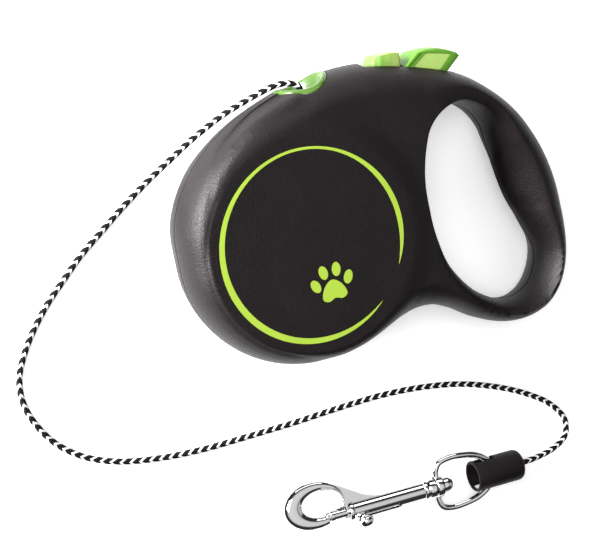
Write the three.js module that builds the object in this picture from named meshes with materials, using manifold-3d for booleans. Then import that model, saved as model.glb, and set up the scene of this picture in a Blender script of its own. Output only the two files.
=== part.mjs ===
// Retractable cord leash for a small dog: two-part case with a loop handle, a spring-wound cord spool,
// a thumb brake with its lock, and a swivelling bolt snap on the free end of the cord.
// Millimetres. The leash lies on its back: +Z is the front face's normal, +X runs from the spool to the
// handle, +Y towards the thumb buttons. The origin is the centre of the back disc, on the spool's axis.
import * as THREE from "three";
import { mergeVertices } from "three/addons/utils/BufferGeometryUtils.js";
import Module from "manifold-3d";

const wasm = await Module();
wasm.setup();

// ---------- driving dimensions ----------
const GAP = 0.3; // clearance between pieces that touch
const THICKNESS = 32; // over the two raised discs
const MID = THICKNESS / 2; // height of the parting plane
const DISC_RISE = 1; // how far each disc stands proud of its shell
const DISC_R = 38.5;
const DRUM_R = 44.3;
const WALL = 3;
const GRIP_START = 45; // x where the case begins to slim down into the handle
const GRIP_END = 80;
const DRUM_HALF = MID - DISC_RISE; // half thickness of the drum
const GRIP_HALF = 13; // half thickness at the back of the handle
const DRUM_ROUND = 8; // how far in the drum's rounded rim reaches
const GRIP_ROUND = 3.6;
const CAVITY_HALF = 7; // half height of the hollow in spine and handle

const AXLE_R = 5;
const SPOOL_R = 40;
const TOOTH_DEPTH = 2.5;
const TEETH = 24;
const TOOTH_HALF = 2.2; // degrees
const PAWL_ANGLE = 60.7; // degrees, where the pawl drops between two teeth
const FLANGE = 1.6;
const SPOOL_HALF = 8.2; // half the spool's height
const CORE_R = 20.2;
const CHAMBER_R = 17.5; // room for the power spring inside the core
const CORD_R = 1.15;
const WOUND_R = 31.5;

const BUTTON_HALF = 6.3; // half width of the thumb buttons
const BRAKE_TRAVEL = 3;
const BRAKE_FOOT = 54.4; // y of the brake's lower edge at rest
const LOCK_TRAVEL = 3;

const HOOK_X = 68.5; // the hook's own axes start at the swivel rivet's head
const HOOK_Y = -97.7;
const HOOK_Z = 5.4;
const HOOK_HEADING = 189; // degrees, from the cuff towards the snap's tip
const HOOK_DIP = 9; // degrees, the eye leans down to the surface it lies on
const RING_WIRE_R = 1.4;
const RING_END = -18.2; // where the cord's loop holds the ring
const CUFF_R = 6;
const CUFF_BORE_R = 4.9;
const CUFF_MOUTH = -9;
const CUFF_END = -29.6;
const CUFF_Z = 6.1;
const BARREL_R = 3.75;
const BARREL_START = 8;
const BARREL_END = 44.4;
const BOLT_R = 2;
const BOLT_TIP = 53.5;
const BOLT_TRAVEL = 10;
const KNOB_X = 38.8;
const SLOT_START = 23;
const KNOB_ROLL = THREE.MathUtils.degToRad(35); // knob and slot, out of the eye's plane
const EYE_HALF = 2.4; // half thickness of the snap's eye

// ---------- outlines, parting plane, drum's axis at 0, 0 ----------
const polar = (r, degrees) => {
  const a = THREE.MathUtils.degToRad(degrees);
  return [r * Math.cos(a), r * Math.sin(a)];
};
// Rear of the spine, its top, the handle's outside and its lower leg, clockwise from the drum's left.
const SPINE_AND_HANDLE = [
  [-45.4, 4.5], [-43.8, 14.5], [-38.5, 26.3], [-32, 34.8], [-24.5, 41.8], [-17, 47], [-9.4, 51.5],
  [0.4, 56.3], [11, 59.6], [22, 61.9], [33, 62.3], [45, 61.6], [56, 60], [64.3, 57.7], [72.2, 54],
  [80.6, 48.9], [88.6, 41.9], [96.6, 31.2], [102.8, 17.8], [106.3, 2.1], [106.7, -8.5],
  [105.7, -15.8], [103.2, -22.4], [98.6, -28.4], [90.2, -32.8], [81, -33.9], [70, -31.6],
  [60, -27.6], [52, -25.9], [44.4, -27.2], [34.5, -32.2],
];
const OPENING = [
  [45, 31], [44.8, 21.5], [46.2, 12.8], [48.2, 6], [51.8, -2], [57.5, -10.5], [66.5, -19], [74, -23.3],
  [81.8, -25.5], [89.3, -24.2], [95, -18.6], [96.6, -8.6], [89.6, 4], [84.2, 11.6], [80.6, 18.6],
  [77.9, 25.6], [75.5, 32], [72.2, 40], [67, 45.4], [59, 47.7], [52, 45.2], [47, 39.6],
];

// ---------- helpers ----------
const finish = (color, roughness, metalness = 0) =>
  new THREE.MeshStandardMaterial({ color, roughness, metalness });
const shellPlastic = finish(0x2e2a2b, 0.55);
const innerPlastic = finish(0x3a3a3c, 0.5);
const greenPlastic = finish(0x79c63a, 0.3);
const glossGreen = finish(0x8ed04a, 0.12);
const steel = finish(0x9a9c9f, 0.3, 1);
const chrome = finish(0xe4e6e8, 0.08, 1);
const braid = finish(0x2a2a2a, 0.9);
const rubber = finish(0x1c1a1b, 0.6);

// A closed geometry as a solid whose faces point outwards.
function solid(geometry) {
  const bare = new THREE.BufferGeometry();
  bare.setAttribute("position", geometry.getAttribute("position"));
  bare.setIndex(geometry.index);
  const merged = mergeVertices(bare, 1e-4);
  const p = merged.attributes.position.array;
  const t = new Uint32Array(merged.index.array);
  let volume = 0;
  for (let i = 0; i < t.length; i += 3) {
    const [a, b, c] = [t[i] * 3, t[i + 1] * 3, t[i + 2] * 3];
    volume +=
      p[a] * (p[b + 1] * p[c + 2] - p[b + 2] * p[c + 1]) +
      p[a + 1] * (p[b + 2] * p[c] - p[b] * p[c + 2]) +
      p[a + 2] * (p[b] * p[c + 1] - p[b + 1] * p[c]);
  }
  if (volume < 0) {
    for (let i = 0; i < t.length; i += 3) {
      [t[i + 1], t[i + 2]] = [t[i + 2], t[i + 1]];
    }
  }
  return new wasm.Manifold(new wasm.Mesh({ numProp: 3, vertProperties: p, triVerts: t }));
}

function named(body, name, material) {
  const mesh = body.getMesh();
  const points = new Float32Array(mesh.numVert * 3);
  for (let i = 0; i < mesh.numVert; i++) {
    points.set(mesh.vertProperties.subarray(i * mesh.numProp, i * mesh.numProp + 3), i * 3);
  }
  const geometry = new THREE.BufferGeometry();
  geometry.setAttribute("position", new THREE.BufferAttribute(points, 3));
  geometry.setIndex(new THREE.BufferAttribute(mesh.triVerts, 1));
  geometry.computeVertexNormals();
  const made = new THREE.Mesh(geometry, material);
  made.name = name;
  return made;
}

// A turned piece about the Z axis from [radius, height] points; a ring's profile is closed for it.
function turned(profile, segments = 20) {
  const points = profile.map(([r, z]) => new THREE.Vector2(r, z));
  if (profile[0][0] > 0) {
    points.push(points[0].clone());
  }
  return new THREE.LatheGeometry(points, segments).rotateX(Math.PI / 2);
}

const turnedAlongX = (profile, segments) => turned(profile, segments).rotateY(Math.PI / 2);

function prism(points, low, high, holes = []) {
  const shape = new THREE.Shape(points.map(([x, y]) => new THREE.Vector2(x, y)));
  shape.holes = holes.map((h) => new THREE.Path(h.map(([x, y]) => new THREE.Vector2(x, y))));
  const options = { depth: high - low, bevelEnabled: false };
  return new THREE.ExtrudeGeometry(shape, options).translate(0, 0, low);
}

function block(low, high) {
  const [w, d, h] = [0, 1, 2].map((i) => high[i] - low[i]);
  const [x, y, z] = [0, 1, 2].map((i) => (low[i] + high[i]) / 2);
  return new THREE.BoxGeometry(w, d, h).translate(x, y, z);
}

const rod = (x, y, r, low, high, segments = 14) =>
  turned([[0, low], [r, low], [r, high], [0, high]], segments).translate(x, y, 0);

function tube(points, radius, sides, steps) {
  const corners = [];
  for (let i = 0; i < sides; i++) {
    corners.push(polar(radius, (360 * i) / sides));
  }
  const section = new THREE.Shape(corners.map(([x, y]) => new THREE.Vector2(x, y)));
  const path = new THREE.CatmullRomCurve3(points.map((p) => new THREE.Vector3(...p)));
  return new THREE.ExtrudeGeometry(section, { steps, extrudePath: path, bevelEnabled: false });
}

const smooth = (x, low, high) => THREE.MathUtils.smoothstep(x, low, high);
const mix = THREE.MathUtils.lerp;

// Evenly spaced points of a closed smooth outline, with the unit normals that point to its outside.
function sampled(control, count) {
  const curve = new THREE.CatmullRomCurve3(
    control.map(([x, y]) => new THREE.Vector3(x, y, 0)), true, "centripetal");
  const area = THREE.ShapeUtils.area(control.map(([x, y]) => new THREE.Vector2(x, y)));
  const turn = Math.sign(area);
  const out = [];
  for (let i = 0; i < count; i++) {
    const p = curve.getPointAt(i / count);
    const t = curve.getTangentAt(i / count);
    out.push({ x: p.x, y: p.y, nx: t.y * turn, ny: -t.x * turn });
  }
  return out;
}
const offset = (outline, distance) =>
  outline.map((p) => [p.x + p.nx * distance, p.y + p.ny * distance]);

// ---------- the case's outlines ----------
const drumArc = [];
for (let degrees = -60; degrees >= -175; degrees -= 14) {
  drumArc.push(polar(DRUM_R, degrees));
}
const caseOutline = sampled([...SPINE_AND_HANDLE, ...drumArc], 68);
const opening = sampled(OPENING, 36);

const slimming = (x) => smooth(x, GRIP_START, GRIP_END);
const rimHalf = (x) => mix(DRUM_HALF, GRIP_HALF, slimming(x));
const rimRound = (x) => mix(DRUM_ROUND, GRIP_ROUND, slimming(x));
// How far a point lies on the grip's side of the line down the middle of the opening.
const gripSide = (x, y) => (x - 54) * 0.904 + (y - 47) * 0.427;
const lipHalf = (x, y) => mix(14, 9, smooth(gripSide(x, y), -8, 10));
const LIP_ROUND = 2.2;
const RIM_STEPS = 4;

// One half of the case's outer form above the parting plane, closed below by a flat face.
function halfForm(outline, hole, grow = 0) {
  const points = [];
  const triangles = [];
  const rings = (loop, half, round, sign) => {
    const starts = [];
    for (let k = 0; k <= RIM_STEPS; k++) {
      const a = (Math.PI / 2) * (k / RIM_STEPS);
      starts.push(points.length);
      for (const p of loop) {
        const inset = round(p.x, p.y) * (1 - Math.cos(a));
        const side = sign * (grow - inset);
        points.push([p.x + p.nx * side, p.y + p.ny * side, (half(p.x, p.y) + grow) * Math.sin(a)]);
      }
    }
    for (let k = 0; k < RIM_STEPS; k++) {
      for (let i = 0; i < loop.length; i++) {
        const j = (i + 1) % loop.length;
        const [a, b, c, d] = [starts[k] + i, starts[k] + j, starts[k + 1] + j, starts[k + 1] + i];
        triangles.push(...(sign > 0 ? [a, b, c, a, c, d] : [a, c, b, a, d, c]));
      }
    }
    return starts;
  };
  // Both loops run the same way round, so the hole's walls face the other way.
  const outer = rings(outline, rimHalf, rimRound, 1);
  const inner = hole ? rings(hole, lipHalf, () => LIP_ROUND, -1) : null;
  const cap = (level, up) => {
    const flat = (start, count) =>
      points.slice(start, start + count).map(([x, y]) => new THREE.Vector2(x, y));
    const contour = flat(outer[level], outline.length);
    const holes = inner ? [flat(inner[level], hole.length)] : [];
    const index = [];
    for (let i = 0; i < outline.length; i++) {
      index.push(outer[level] + i);
    }
    for (let i = 0; inner && i < hole.length; i++) {
      index.push(inner[level] + i);
    }
    for (const [a, b, c] of THREE.ShapeUtils.triangulateShape(contour, holes)) {
      const [p, q, r] = [index[a], index[b], index[c]];
      const facesUp = THREE.ShapeUtils.area([p, q, r].map((i) => new THREE.Vector2(...points[i]))) > 0;
      triangles.push(...(facesUp === up ? [p, q, r] : [p, r, q]));
    }
  };
  cap(0, false);
  cap(RIM_STEPS, true);
  const geometry = new THREE.BufferGeometry();
  geometry.setAttribute("position", new THREE.Float32BufferAttribute(points.flat(), 3));
  geometry.setIndex(triangles);
  return geometry;
}
const counterClockwise = (loop) => {
  const turn = THREE.ShapeUtils.area(loop.map((p) => new THREE.Vector2(p.x, p.y)));
  return turn > 0 ? loop : [...loop].reverse();
};
const rim = counterClockwise(caseOutline);
const lip = counterClockwise(opening);

// Puts a half form above the parting plane, or mirrors it below.
const above = (geometry, lift = 0) => geometry.translate(0, 0, MID + lift);
const below = (geometry, lift = 0) => geometry.rotateX(Math.PI).scale(1, -1, 1)
  .translate(0, 0, MID - lift);

// ---------- cord outlet in the spine ----------
const OUTLET = [0.4, 56.4];
const OUTLET_TURN = THREE.MathUtils.degToRad(21.4); // the rim's slope at the outlet
const FLANGE_LENGTH = 10; // half the oval's length along the rim
const FLANGE_WIDTH = 10.2;
const FLANGE_DEPTH = 4.6;
const NECK_DEPTH = 7;
const FLANGE_PROUD = 0.4;
// A piece turned about Z, made oval and stood on the rim with Z along the outward normal.
const inOutlet = (geometry, longer) => geometry
  .scale(longer, 1, 1)
  .rotateX(-Math.PI / 2)
  .rotateZ(OUTLET_TURN)
  .translate(OUTLET[0], OUTLET[1], MID);

function outletGuide() {
  const plug = solid(inOutlet(rod(0, 0, FLANGE_WIDTH, -FLANGE_DEPTH, 6, 32), FLANGE_LENGTH / FLANGE_WIDTH));
  const skin = solid(above(halfForm(rim, null, FLANGE_PROUD)))
    .add(solid(below(halfForm(rim, null, FLANGE_PROUD))));
  const neck = solid(inOutlet(rod(0, 0, 4.4, -NECK_DEPTH, -FLANGE_DEPTH + 0.5, 32), 1.2));
  const funnel = solid(inOutlet(turned([[0, -7], [2.8, -7], [2.8, -4.5], [3.6, -2.4], [5.4, 0.6],
    [8.4, 4], [0, 4]], 32), 1.45));
  return plug.intersect(skin).add(neck).subtract(funnel);
}

// ---------- case ----------
const SCREWS = [
  { x: 17, y: 51, seat: 5 },
  { x: 82, y: 38.5, seat: 8 },
  { x: 92.5, y: 13, seat: 8 },
  { x: 50.5, y: -19, seat: 6 },
];
const POST_R = 3;
const SCREW_R = 1.25;
const SCREW_HEAD_R = 2.5;
const SCREW_TIP = 22;
const SPINE_POCKET = [
  [-6, 44], [8, 53], [22, 57], [40, 57], [56, 54.5], [52, 48.5], [44, 44.5], [42, 34], [20, 30],
];
const POCKET_HALF = 9;
const BRAKE_SLOT = [38.5, 58.6];
const LOCK_POCKET = [26.6 - LOCK_TRAVEL - GAP, 38];
const LOCK_SLOT = [26.7, 36];

// Everything that is hollow inside the closed case.
function hollow() {
  const shape = solid(prism(offset(rim, -WALL), MID - CAVITY_HALF, MID + CAVITY_HALF,
    [offset(lip, WALL - 0.5)]));
  const r = SPOOL_R + 1.3;
  const drum = turned([[0, 3.6], [36, 3.6], [38.5, 5], [r, 7.5], [r, 24.5], [38.5, 27], [36, 28.4],
    [0, 28.4]], 44);
  const pocket = prism(SPINE_POCKET, MID - POCKET_HALF, MID + POCKET_HALF);
  return shape.add(solid(drum)).add(solid(pocket));
}

function buttonSlots() {
  const z = [MID - BUTTON_HALF - GAP, MID + BUTTON_HALF + GAP];
  const brake = block([BRAKE_SLOT[0], BRAKE_FOOT - BRAKE_TRAVEL - 0.9, z[0]], [BRAKE_SLOT[1], 70, z[1]]);
  const pocket = block([LOCK_POCKET[0], 60.4, z[0]], [LOCK_POCKET[1], 70, z[1]]);
  const stem = block([LOCK_SLOT[0], 52, MID - 3.5], [LOCK_SLOT[1], 70, MID + 3.5]);
  return solid(brake).add(solid(pocket)).add(solid(stem));
}

const outletHole = () => {
  const seat = FLANGE_WIDTH + GAP;
  const longer = (FLANGE_LENGTH + GAP) / seat;
  return solid(inOutlet(rod(0, 0, seat, -9, 9, 32), longer));
};

const axleBoss = (low, high) => {
  const [bore, outside] = [AXLE_R + GAP, 7.8];
  return solid(turned([[bore, low], [outside, low], [outside, high], [bore, high]]));
};

function caseFront(cuts) {
  let shell = solid(above(halfForm(rim, lip), GAP / 2));
  shell = shell.add(solid(rod(0, 0, DISC_R, MID + 2, THICKNESS, 48)));
  shell = shell.subtract(cuts).add(axleBoss(MID + SPOOL_HALF + GAP, 28.6));
  for (const { x, y } of SCREWS) {
    shell = shell.add(solid(rod(x, y, POST_R, MID + GAP / 2, 26)));
    shell = shell.subtract(solid(rod(x, y, SCREW_R + GAP, MID - 1, SCREW_TIP + GAP, 12)));
  }
  return shell;
}

function caseBack(cuts) {
  let shell = solid(below(halfForm(rim, lip), GAP / 2));
  shell = shell.add(solid(rod(0, 0, DISC_R, 0, MID - 2, 48)));
  shell = shell.subtract(cuts).add(axleBoss(3.4, MID - SPOOL_HALF - GAP));
  for (const { x, y, seat } of SCREWS) {
    shell = shell.add(solid(rod(x, y, POST_R + 0.6, seat - 1, MID - GAP / 2)));
    shell = shell.subtract(solid(rod(x, y, SCREW_R + GAP, 0, MID + 1, 12)));
    shell = shell.subtract(solid(rod(x, y, SCREW_HEAD_R + GAP, -1, seat, 16)));
  }
  return shell;
}

const caseScrew = ({ seat }) => turned([
  [0, seat - GAP - 1.7], [SCREW_HEAD_R - 0.5, seat - GAP - 1.7], [SCREW_HEAD_R, seat - GAP - 1],
  [SCREW_HEAD_R, seat - GAP], [SCREW_R, seat - GAP], [SCREW_R, SCREW_TIP - 1], [0.4, SCREW_TIP],
  [0, SCREW_TIP]], 10);

// ---------- spool ----------
function spool() {
  const [low, high] = [MID - SPOOL_HALF, MID + SPOOL_HALF];
  const bore = AXLE_R + GAP;
  const rootR = SPOOL_R - TOOTH_DEPTH;
  const drum = solid(turned([
    [bore, low], [SPOOL_R, low], [SPOOL_R, low + FLANGE], [CORE_R, low + FLANGE],
    [CORE_R, high - FLANGE], [rootR - 1, high - FLANGE], [rootR - 1, high], [CHAMBER_R, high],
    [CHAMBER_R, low + 1.8], [bore, low + 1.8]], 48));
  const teeth = [];
  for (let i = 0; i < TEETH; i++) {
    const middle = PAWL_ANGLE + (360 / TEETH) * (i + 0.5);
    teeth.push(polar(rootR, middle - TOOTH_HALF - 0.6), polar(SPOOL_R, middle - TOOTH_HALF),
      polar(SPOOL_R, middle + TOOTH_HALF), polar(rootR, middle + TOOTH_HALF + 0.6));
  }
  const inside = [];
  for (let i = 0; i < 48; i++) {
    inside.push(polar(CORE_R + 2, (360 * i) / 48));
  }
  return drum.add(solid(prism(teeth, high - FLANGE, high, [inside])));
}

// A flat coiled strip that winds up inside the spool's core.
function powerSpring() {
  const [turns, steps, strip] = [5, 16, 0.8];
  const spiral = (side) => {
    const out = [];
    for (let i = 0; i <= turns * steps; i++) {
      const share = i / (turns * steps);
      out.push(polar(mix(6.6, 16.6, share) + side * strip / 2, share * turns * 360));
    }
    return out;
  };
  return prism([...spiral(1), ...spiral(-1).reverse()], 10.2, 22.2);
}

const springCover = () => {
  const [low, high] = [MID + SPOOL_HALF - FLANGE + GAP, MID + SPOOL_HALF - 0.1];
  const [bore, outside] = [AXLE_R + GAP, CHAMBER_R - GAP];
  return turned([[bore, low], [outside, low], [outside, high], [bore, high]], 40);
};

const woundCord = () => {
  const [low, high] = [MID - SPOOL_HALF + FLANGE + GAP, MID + SPOOL_HALF - FLANGE - GAP];
  const [inside, outside] = [CORE_R + GAP, WOUND_R];
  return turned([[inside, low], [outside, low], [outside, high], [inside, high]], 40);
};

// ---------- thumb brake and its lock ----------
const BRAKE_SIDE = [
  [38.9, 55.8], [36.9, 55.8], [36.9, BRAKE_FOOT], [59.6, BRAKE_FOOT], [59.6, 55.6], [56.2, 55.6],
  [56.2, 59.3],
  [60.9, 65.3], [59.6, 66.4], [56, 67.4], [51.5, 67.9], [47, 67.4], [43.8, 66.3], [38.9, 60.6],
];
const LOCK_SIDE = [
  [26.7, 60.8], [37.5, 60.8], [36.9, 66.3], [33.5, 66.1], [29, 64.6],
];
const LOCK_STEM = [[30.2, 61.5], [30.2, 57], [28.9, 57], [28.9, 55.8], [36.4, 55.8], [36.4, 57],
  [35.6, 57], [35.6, 61.5]];
const PAWL_SIDE = [
  [48, 53.9], [37, 53.9], [29.5, 47.6], [18.6, 39], [17.2, 36.6], [19.9, 35.1], [21.8, 38.3],
  [33, 45], [39.5, 50.8], [48, 50.8],
];
const LEAF = [[40, 48.6], [43, 52.2], [46.5, 53.6], [50, 52.3], [53, 49.2]];

const brakeButton = () => prism(BRAKE_SIDE, MID - BUTTON_HALF, MID + BUTTON_HALF);
const lockSlider = () => solid(prism(LOCK_SIDE, MID - BUTTON_HALF, MID + BUTTON_HALF))
  .add(solid(prism(LOCK_STEM, MID - 3, MID + 3)));
const brakePawl = () => prism(PAWL_SIDE, MID + SPOOL_HALF - FLANGE + 0.1, MID + SPOOL_HALF - 0.1);
const returnSpring = () => {
  const curve = new THREE.CatmullRomCurve3(LEAF.map(([x, y]) => new THREE.Vector3(x, y, 0)));
  const upper = curve.getPoints(12).map((p) => [p.x, p.y]);
  const lower = upper.map(([x, y]) => [x, y - 0.6]).reverse();
  return prism([...upper, ...lower], MID - 3, MID + 3);
};

// ---------- free cord ----------
// From the outlet's throat, over its lip, down to the surface the leash lies on and round to the cuff.
const CORD_ROUTE = [
  [2.2, 51.9, 16], [0.4, 54.4, 16], [-3.6, 55.3, 16], [-7.8, 54.6, 15.9], [-11.4, 53, 15.2],
  [-21.6, 47, 11.9], [-26.3, 43.7, 10], [-35.6, 35.6, 5.8],
  [-40.8, 30.5, 3.9], [-48.9, 22.8, 2], [-57.6, 14.4, 1.3], [-66.3, 5.3, 1.25], [-75, -4.1, 1.25],
  [-81.3, -12.4, 1.25], [-86.9, -20.2, 1.25], [-91.6, -28.4, 1.25], [-95.2, -36.8, 1.25],
  [-97.2, -45.6, 1.25], [-96, -54.2, 1.25], [-92, -61.8, 1.25], [-85.2, -69.2, 1.25],
  [-75.6, -74.8, 1.25], [-63.5, -77.9, 1.25], [-48, -78.3, 1.25], [-31.7, -76.7, 1.25],
  [-13.5, -73.4, 1.25], [5.2, -69.7, 1.25], [23, -65.7, 1.25], [41, -62.2, 1.25],
  [58, -60.5, 1.25], [74, -60.6, 1.25], [90, -63, 1.25], [104, -67, 1.25], [114.4, -72, 1.25],
  [120.6, -78.4, 1.4], [120.4, -84.6, 2.2], [114.8, -88.8, 3.5], [107, -91.3, 5], [99.8, -92.7, 6],
  [95.6, -93.4, 6.1],
];

// ---------- cuff, ring and bolt snap, on the hook's own axes ----------
// The tail of the cord inside the cuff, looped round the ring's wire.
function cordEndLoop() {
  const reach = RING_WIRE_R + GAP + 1;
  const points = [];
  for (let degrees = -90; degrees <= 90; degrees += 22.5) {
    const [x, z] = polar(reach, degrees);
    points.push([RING_END + x, 0, z]);
  }
  points.unshift([CUFF_END + 3.2, 0, -1], [CUFF_END + 6.5, 0, -2.2]);
  points.push([CUFF_END + 6.5, 0, 2.6], [CUFF_END + 3.2, 0, 2.2]);
  return tube(points, 0.95, 8, 18);
}

function cordCuff() {
  const lift = CUFF_Z - HOOK_Z;
  const body = turnedAlongX([
    [CORD_R + 0.45, CUFF_END], [CUFF_R - 1.6, CUFF_END], [CUFF_R - 0.5, CUFF_END + 0.5],
    [CUFF_R, CUFF_END + 1.6], [CUFF_R, CUFF_MOUTH], [CUFF_BORE_R, CUFF_MOUTH],
    [CUFF_BORE_R, CUFF_END + 2.6], [CORD_R + 0.45, CUFF_END + 2.6]], 28).translate(0, 0, lift);
  let cuff = solid(body);
  for (const side of [-1, 1]) {
    const [near, far] = [side * 3.4, side * 8].sort((a, b) => a - b);
    cuff = cuff.subtract(solid(block([-18.7, near, -2.6], [CUFF_MOUTH + 1, far, 2.6])));
  }
  return cuff;
}

function swivelRing() {
  const half = [[6.3, 0.4], [6.4, 5.4], [5, 8.5], [1.4, 9.8], [-5.6, 9.6], [-11.6, 8.1],
    [-16.2, 4.7]];
  const points = half.map(([x, y]) => [x, y, 0]);
  points.push([RING_END, 0, 0]);
  points.push(...half.map(([x, y]) => [x, -y, 0]).reverse());
  const hub = turnedAlongX([[0, 4.8], [4.2, 4.8], [4.2, 7.7], [0, 7.7]], 24);
  const bore = turnedAlongX([[0, 3], [1.8 + GAP, 3], [1.8 + GAP, 9], [0, 9]], 24);
  return solid(tube(points, RING_WIRE_R, 8, 32)).add(solid(hub)).subtract(solid(bore));
}

const swivelRivet = () => turnedAlongX([
  [0, 0], [2.2, 0.2], [3.1, 1.2], [3.2, 3.6], [2.9, 4.5], [1.8, 4.5], [1.8, BARREL_START + 1.6],
  [0, BARREL_START + 1.6]], 24);

const ellipse = (x, y, long, wide, count) => {
  const out = [];
  for (let i = 0; i < count; i++) {
    const [c, s] = polar(1, (360 * i) / count);
    out.push([x + long * c, y + wide * s]);
  }
  return out;
};

function hookBody() {
  const outside = new THREE.Shape(ellipse(57, -5.7, 12.1, 8.9, 32).map((p) => new THREE.Vector2(...p)));
  const bevel = 0.8;
  const eye = new THREE.ExtrudeGeometry(outside, {
    depth: 2 * (EYE_HALF - bevel), bevelThickness: bevel, bevelSize: bevel, bevelOffset: -bevel,
    bevelSegments: 2,
  }).translate(0, 0, -(EYE_HALF - bevel));
  const shoulder = prism([[29, -1.5], [30, -3.3], [36, -4.9], [40, -7.2], [45.5, -10.4], [51, -12.9],
    [53, -11], [47, -2], [46, 2.6], [40, 2.6]], -EYE_HALF, EYE_HALF);
  const hole = prism(ellipse(53.8, -5.7, 7.9, 4.8, 32), -9, 9);
  const barrel = turnedAlongX([
    [0, BARREL_START], [4.25, BARREL_START], [4.25, BARREL_START + 3], [BARREL_R, BARREL_START + 3.6],
    [BARREL_R, BARREL_END], [0, BARREL_END]], 28);
  const clear = BOLT_R + GAP;
  const bore = turnedAlongX([[0, 11.5], [clear, 11.5], [clear, BOLT_TIP + GAP], [0, BOLT_TIP + GAP]], 24);
  const rivetSeat = turnedAlongX([[0, 7], [1.8 + GAP, 7], [1.8 + GAP, 10], [0, 10]], 24);
  const gate = block([BARREL_END + 0.8, -clear, -6], [52.6, 8, 6]);
  const slot = block([SLOT_START, 0, -1.5], [KNOB_X + 1.8, 8, 1.5]).rotateX(KNOB_ROLL);
  return solid(eye).add(solid(shoulder)).subtract(solid(hole)).add(solid(barrel)).subtract(solid(bore))
    .subtract(solid(rivetSeat)).subtract(solid(gate)).subtract(solid(slot));
}

const snapBolt = () => turnedAlongX([
  [0, 22.2], [BOLT_R - 0.3, 22.2], [BOLT_R, 22.5], [BOLT_R, BOLT_TIP - 0.6], [BOLT_R - 0.6, BOLT_TIP],
  [0, BOLT_TIP]], 24);

// Stands on the bolt and reaches out through the barrel's slot.
const thumbKnob = () => turned([
  [0, BOLT_R + GAP], [1.15, BOLT_R + GAP], [1.15, 4.05], [2.3, 4.4], [3, 5.4], [3, 6.2],
  [2.4, 7.4], [1.2, 8.1], [0, 8.3]], 20).rotateX(KNOB_ROLL - Math.PI / 2).translate(KNOB_X, 0, 0);

function boltSpring() {
  const [turns, steps, low, high] = [5, 8, 12, 21.9];
  const points = [];
  for (let i = 0; i <= turns * steps; i++) {
    const [y, z] = polar(1.5, (360 * i) / steps);
    points.push([mix(low + 0.4, high - 0.4, i / (turns * steps)), y, z]);
  }
  return tube(points, 0.35, 6, turns * steps);
}

// ---------- assembly ----------
const leash = new THREE.Group();
const place = (geometry, name, material) => {
  const made = named(solid(geometry), name, material);
  leash.add(made);
  return made;
};

const cuts = hollow().add(buttonSlots()).add(outletHole());
leash.add(named(caseFront(cuts), "case_front", shellPlastic));
leash.add(named(caseBack(cuts), "case_back", shellPlastic));
leash.add(named(outletGuide(), "outlet_guide", glossGreen));
place(rod(0, 0, AXLE_R, 3.9, 28.1, 32), "spool_axle", steel);
SCREWS.forEach((screw, i) => {
  place(caseScrew(screw), "case_screw_" + (i + 1), steel).position.set(screw.x, screw.y, 0);
});
leash.add(named(spool(), "spool", innerPlastic));
place(woundCord(), "wound_cord", braid);
place(powerSpring(), "power_spring", steel);
place(springCover(), "spring_cover", innerPlastic);
place(brakeButton(), "brake_button", greenPlastic);
leash.add(named(lockSlider(), "lock_slider", greenPlastic));
place(brakePawl(), "brake_pawl", innerPlastic);
place(returnSpring(), "brake_return_spring", steel);
place(tube(CORD_ROUTE, CORD_R, 8, 80), "cord", braid);

const hookLine = new THREE.Group();
hookLine.position.set(HOOK_X, HOOK_Y, HOOK_Z);
hookLine.rotation.z = THREE.MathUtils.degToRad(HOOK_HEADING);
leash.add(hookLine);
hookLine.add(named(cordCuff(), "cord_cuff", rubber));
hookLine.add(named(solid(cordEndLoop()), "cord_end_loop", braid));
hookLine.add(named(swivelRing(), "swivel_ring", chrome));

const snap = new THREE.Group();
snap.rotation.x = THREE.MathUtils.degToRad(HOOK_DIP);
hookLine.add(snap);
snap.add(named(hookBody(), "hook_body", chrome));
snap.add(named(solid(swivelRivet()), "swivel_rivet", chrome));
snap.add(named(solid(boltSpring()), "bolt_spring", steel));
snap.add(named(solid(snapBolt()), "snap_bolt", chrome));
snap.add(named(solid(thumbKnob()), "thumb_knob", chrome));

export default leash;
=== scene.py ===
"""Retractable cord leash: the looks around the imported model.

Lengths are written in millimetres in the row frame (MM turns them into Blender's metres). The leash lies on
its back disc: z = 0 is the floor, z = MID the parting plane of the case and z = TOP the front disc.
"""
import math

import bpy
import bmesh
import numpy as np
from mathutils import Matrix, Vector
from mathutils.geometry import delaunay_2d_cdt


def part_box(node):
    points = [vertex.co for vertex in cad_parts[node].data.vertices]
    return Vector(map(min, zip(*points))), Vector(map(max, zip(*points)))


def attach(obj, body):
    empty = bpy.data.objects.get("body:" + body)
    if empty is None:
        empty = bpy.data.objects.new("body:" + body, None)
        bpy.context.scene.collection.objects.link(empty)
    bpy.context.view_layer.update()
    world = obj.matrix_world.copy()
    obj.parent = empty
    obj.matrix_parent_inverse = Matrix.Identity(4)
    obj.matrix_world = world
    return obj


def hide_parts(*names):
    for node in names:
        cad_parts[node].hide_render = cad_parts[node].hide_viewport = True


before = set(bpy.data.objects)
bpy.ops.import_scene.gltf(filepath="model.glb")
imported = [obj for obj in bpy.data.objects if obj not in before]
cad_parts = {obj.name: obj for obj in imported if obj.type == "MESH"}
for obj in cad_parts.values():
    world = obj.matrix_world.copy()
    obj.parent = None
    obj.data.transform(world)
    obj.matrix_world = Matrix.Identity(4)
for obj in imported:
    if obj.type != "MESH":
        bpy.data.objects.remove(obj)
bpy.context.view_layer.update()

MM = 0.001
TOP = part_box("case_front")[1].z / MM
MID = TOP / 2


# ---------- camera ----------
CAMERA_AT = (-221.0, 68.35, 560.2)
CAMERA_BACK = (-0.3747, 0.1364, 0.9171)
CAMERA_RIGHT = (0.9257, 0.0, 0.3782)


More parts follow.
